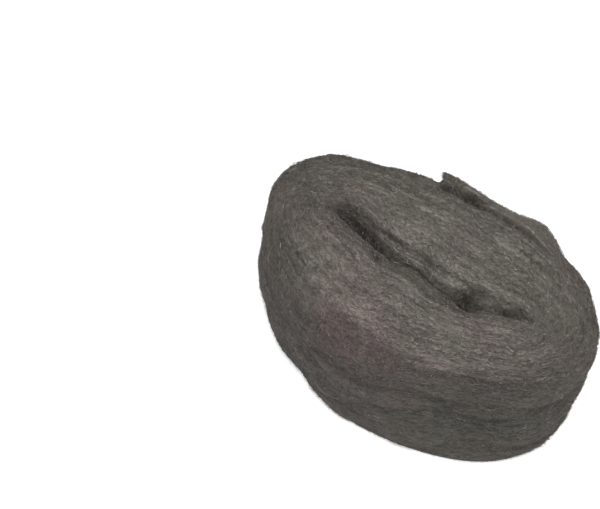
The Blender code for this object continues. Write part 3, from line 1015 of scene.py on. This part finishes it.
def strand_patch(corners):
    """Where each vertex of a strand lies on its small patch of the map of looks."""
    rings = (corners - 2) // TUBE_SIDES
    last_side = TUBE_SIDES - 1
    along = np.repeat(np.arange(1, rings + 1), TUBE_SIDES)
    along = np.concatenate([[0], along, [rings + 1]]) / (rings + 1)
    around = np.tile(np.arange(TUBE_SIDES), rings)
    around = np.concatenate([[last_side / 2], around, [last_side / 2]]) / last_side
    return LOOK_PATCH * np.stack([around, along], -1)


def held_off_tail(angle):
    """Angles moved so that no strand on the outermost turn runs past the tail's end."""
    before = angle_apart(TAIL_ANGLE, angle)
    short = TAIL_ROOM - np.abs(before)
    return np.where(short > 0.0, angle - np.copysign(short, before), angle)


def fibres_on_end(seed, kinds, on_base=False):
    made = Fibres(seed, END_CONTRAST)
    random = made.random
    for kind in kinds:
        count = kind[0]
        angle = random.uniform(0.0, math.tau, count)
        even = random.uniform(0.0, 1.0, count)
        share = np.where(random.uniform(size=count) < END_EVENNESS, even, np.sqrt(even))
        outer = share * rim_share(angle) > 1.0 - TAIL_EDGE / LAYERS
        angle = np.where(outer, held_off_tail(angle), angle)
        rim = rim_share(angle)
        inward = (1.0 - share) * rim * END_RUN
        made.lay(kind, angle, WALL_RUN + inward if on_base else -inward, rim)
    return made


def fibres_on_side(seed):
    made = Fibres(seed, SIDE_CONTRAST)
    for kind in (MATTED, COMBED):
        angle = held_off_tail(made.random.uniform(0.0, math.tau, kind[0]))
        down = made.random.uniform(-PAST_RIMS[0], WALL_RUN + PAST_RIMS[1], kind[0])
        made.lay(kind, angle, down, rim_share(angle))
    return made


def fibres_at_tail(seed):
    """A fringe on the cut end of the tail, all through its thickness."""
    made = Fibres(seed, END_CONTRAST)
    random = made.random
    for kind, reach_down in ((FRINGE, (0.0, WALL_RUN)), (TIP_FRINGE, TIP_DOWN)):
        before = random.uniform(*FRINGE_REACH, kind[0]) / (ROLL_LENGTH / 2)
        inside = random.uniform(0.0, 1.0, kind[0]) ** 2
        rim = 1.0 - (before / math.tau + inside) / LAYERS
        made.lay(kind, TAIL_ANGLE - before, random.uniform(*reach_down, kind[0]), rim)
    return made


def fuzz_all_round(seed):
    """Thin loose fibres near the upper rim and down the side, and more along the tail."""
    made = Fibres(seed, SIDE_CONTRAST)
    random, count = made.random, FUZZ[0]
    angle = held_off_tail(random.uniform(0.0, math.tau, count))
    down = WALL_RUN * random.uniform(0.0, 1.0, count) ** FUZZ_DOWN_POWER
    inward = FUZZ_ON_END * random.uniform(0.0, 1.0, count) ** 2
    down = np.where(np.arange(count) % FUZZ_ON_END_ONE_IN, down, -inward)
    made.lay(FUZZ, angle, down, rim_share(angle), FUZZ_RISE)
    angle = TAIL_ANGLE - random.uniform(*FUZZ_ON_TAIL, TAIL_FUZZ[0])
    down = random.uniform(*FUZZ_DOWN_TAIL, TAIL_FUZZ[0])
    made.lay(TAIL_FUZZ, angle, down, rim_share(angle), FUZZ_RISE)
    angle = TAIL_ANGLE - random.normal(*TUFT_BEFORE, TUFT[0])
    down = random.uniform(*TUFT_DOWN, TUFT[0])
    made.lay(TUFT, angle, down, rim_share(angle), TUFT_RISE)
    return made


# Materials

NEW_STOP_PLACE = 0.5


def set_inputs(tree, node, inputs):
    """Gives a node's inputs their values, or links them to the outputs of other nodes."""
    for name, value in inputs.items():
        if isinstance(value, bpy.types.NodeSocket):
            tree.links.new(value, node.inputs[name])
        else:
            node.inputs[name].default_value = value


def add_node(tree, kind, inputs, operation=None):
    node = tree.nodes.new(kind)
    if operation:
        node.operation = operation
    set_inputs(tree, node, inputs)
    return node


def add_attribute(tree, name):
    node = tree.nodes.new("ShaderNodeAttribute")
    node.attribute_name = name
    return node.outputs


def add_ramp(tree, source, stops):
    """A colour ramp with these stops, as (position, colour), driven by an output."""
    node = add_node(tree, "ShaderNodeValToRGB", {"Fac": source})
    elements = node.color_ramp.elements
    while len(elements) < len(stops):
        elements.new(NEW_STOP_PLACE)
    for element, (position, colour) in zip(elements, stops):
        element.position = position
        element.color = (*colour, 1.0)
    return node.outputs["Color"]


def add_tint(tree, colour, source):
    """Tints a colour from olive to rose by an output from 0 to 1."""
    tint = add_ramp(tree, source, TINTS)
    mix = add_node(tree, "ShaderNodeMixRGB", {"Fac": 1.0, "Color1": colour, "Color2": tint})
    mix.blend_type = "MULTIPLY"
    return mix.outputs["Color"]


def new_material(name, roughness, metallic):
    material = bpy.data.materials.new(name)
    material.use_nodes = True
    tree = material.node_tree
    shader = tree.nodes["Principled BSDF"]
    set_inputs(tree, shader, {"Roughness": roughness, "Metallic": metallic})
    return material, tree, shader


def body_material():
    material, tree, shader = new_material("wool_body", WOOL_ROUGHNESS, BODY_METALLIC)
    stretched = {0: add_attribute(tree, "grain")["Vector"], 1: STREAKS_PER_METRE}
    place = add_node(tree, "ShaderNodeVectorMath", stretched, "MULTIPLY").outputs["Vector"]
    fine = {"Vector": place, "Scale": 1.0, "Detail": STREAK_DETAIL}
    streaks = add_node(tree, "ShaderNodeTexNoise", fine).outputs["Fac"]
    # The tone attribute holds painted light and painted shade as well as streaks.
    toned = {0: streaks, 1: add_attribute(tree, "tone")["Fac"]}
    tone = add_node(tree, "ShaderNodeMath", toned).outputs["Value"]
    colour = add_ramp(tree, tone, BODY_TONES)
    tinted = add_tint(tree, colour, add_attribute(tree, "tint")["Fac"])
    bumped = {"Strength": STREAK_BUMP, "Distance": STREAK_HEIGHT, "Height": streaks}
    normal = add_node(tree, "ShaderNodeBump", bumped).outputs["Normal"]
    set_inputs(tree, shader, {"Base Color": tinted, "Normal": normal})
    return material


def fibre_material():
    material, tree, shader = new_material("wool_fibres", WOOL_ROUGHNESS, FIBRE_METALLIC)
    place = tree.nodes.new("ShaderNodeUVMap")
    place.uv_map = "OFBake"
    apart = add_node(tree, "ShaderNodeSeparateXYZ", {"Vector": place.outputs["UV"]}).outputs
    colour = add_ramp(tree, apart["X"], FIBRE_TONES)
    set_inputs(tree, shader, {"Base Color": add_tint(tree, colour, apart["Y"])})
    return material


# Stage


def floor_material():
    """White where it is seen, and grey for the light that it throws back at the roll."""
    material, tree, shader = new_material("pale_floor", FLOOR_ROUGHNESS, 0.0)
    seen = tree.nodes.new("ShaderNodeLightPath").outputs["Is Camera Ray"]
    grey = (FLOOR_BOUNCE, FLOOR_BOUNCE, FLOOR_BOUNCE, 1.0)
    tint = add_node(tree, "ShaderNodeMixRGB", {"Fac": seen, "Color1": grey, "Color2": WHITE})
    place = tree.nodes.new("ShaderNodeNewGeometry").outputs["Position"]
    away = add_node(tree, "ShaderNodeVectorMath", {0: place}, "LENGTH").outputs["Value"]
    (near, near_glow), (far, far_glow) = FLOOR_GLOWS
    ends = {"From Min": near, "From Max": far, "To Min": near_glow, "To Max": far_glow}
    glow = add_node(tree, "ShaderNodeMapRange", {"Value": away, **ends}).outputs["Result"]
    strength = add_node(tree, "ShaderNodeMath", {0: seen, 1: glow}, "MULTIPLY")
    set_inputs(tree, shader, {
        "Base Color": tint.outputs["Color"],
        "Emission Color": WHITE,
        "Emission Strength": strength.outputs["Value"],
    })
    return material


def make_floor():
    bpy.ops.mesh.primitive_plane_add(size=FLOOR_SIZE, location=(0.0, 0.0, cad_low.z - FLOOR_GAP))
    floor = bpy.context.object
    floor.name = "floor"
    floor.data.materials.append(floor_material())


def make_world():
    """A dim even light all round, which is seen as white."""
    world = bpy.data.worlds.new("studio")
    bpy.context.scene.world = world
    world.use_nodes = True
    tree = world.node_tree
    light = tree.nodes["Background"]
    set_inputs(tree, light, {"Color": WHITE, "Strength": WORLD_STRENGTH})
    plain = add_node(tree, "ShaderNodeBackground", {"Color": WHITE})
    seen = tree.nodes.new("ShaderNodeLightPath").outputs["Is Camera Ray"]
    mixed = {0: seen, 1: light.outputs["Background"], 2: plain.outputs["Background"]}
    mix = add_node(tree, "ShaderNodeMixShader", mixed)
    set_inputs(tree, tree.nodes["World Output"], {"Surface": mix.outputs["Shader"]})


def add_object(name, data):
    made = bpy.data.objects.new(name, data)
    bpy.context.scene.collection.objects.link(made)
    return made


def make_lamp():
    light = bpy.data.lights.new("overhead", "AREA")
    light.shape = "SQUARE"
    light.size = LAMP_SIZE
    light.energy = LAMP_POWER
    lamp = add_object("overhead", light)
    lamp.location = LAMP_PLACE
    lamp.rotation_mode = "QUATERNION"
    lamp.rotation_quaternion = Vector(LAMP_PLACE).to_track_quat("Z", "Y")


def make_camera():
    data = bpy.data.cameras.new("camera")
    data.lens = FOCAL_LENGTH
    data.sensor_width = SENSOR_WIDTH
    camera = add_object("camera", data)
    level = math.cos(CAMERA_ELEVATION)
    cos, sin = math.cos(CAMERA_AZIMUTH), math.sin(CAMERA_AZIMUTH)
    back = Vector((sin * level, -cos * level, math.sin(CAMERA_ELEVATION)))
    right = Vector((cos, sin, 0.0))
    turned = Matrix((right, back.cross(right), back)).transposed()
    camera.matrix_world = Matrix.Translation(CAMERA_PLACE + Vector(SHIFT)) @ turned.to_4x4()
    bpy.context.scene.camera = camera


def add_piece(mesh, material):
    mesh.materials.append(material)
    piece = add_object(mesh.name, mesh)
    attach(piece, BODY)
    return piece


def make_roll():
    body = add_piece(BodyMesh().finish(), body_material())
    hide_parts(NODE)
    strands = fibre_material()
    for number, seed in enumerate(END_AND_SIDE_SEEDS, start=1):
        upper = fibres_on_end(seed, (MATTED, COMBED))
        add_piece(upper.finish(f"fibres_upper_end_{number}"), strands)
        add_piece(fibres_on_side(seed).finish(f"fibres_side_{number}"), strands)
    lower = fibres_on_end(LOWER_END_SEED, (ON_BASE,), on_base=True)
    add_piece(lower.finish("fibres_lower_end"), strands)
    add_piece(fibres_at_tail(TAIL_SEED).finish("fibres_tail"), strands)
    add_piece(fuzz_all_round(FUZZ_SEED).finish("fibres_fuzz"), strands)


def main():
    bpy.context.scene.view_settings.view_transform = "Standard"
    make_camera()
    make_world()
    make_lamp()
    make_floor()
    make_roll()


main()
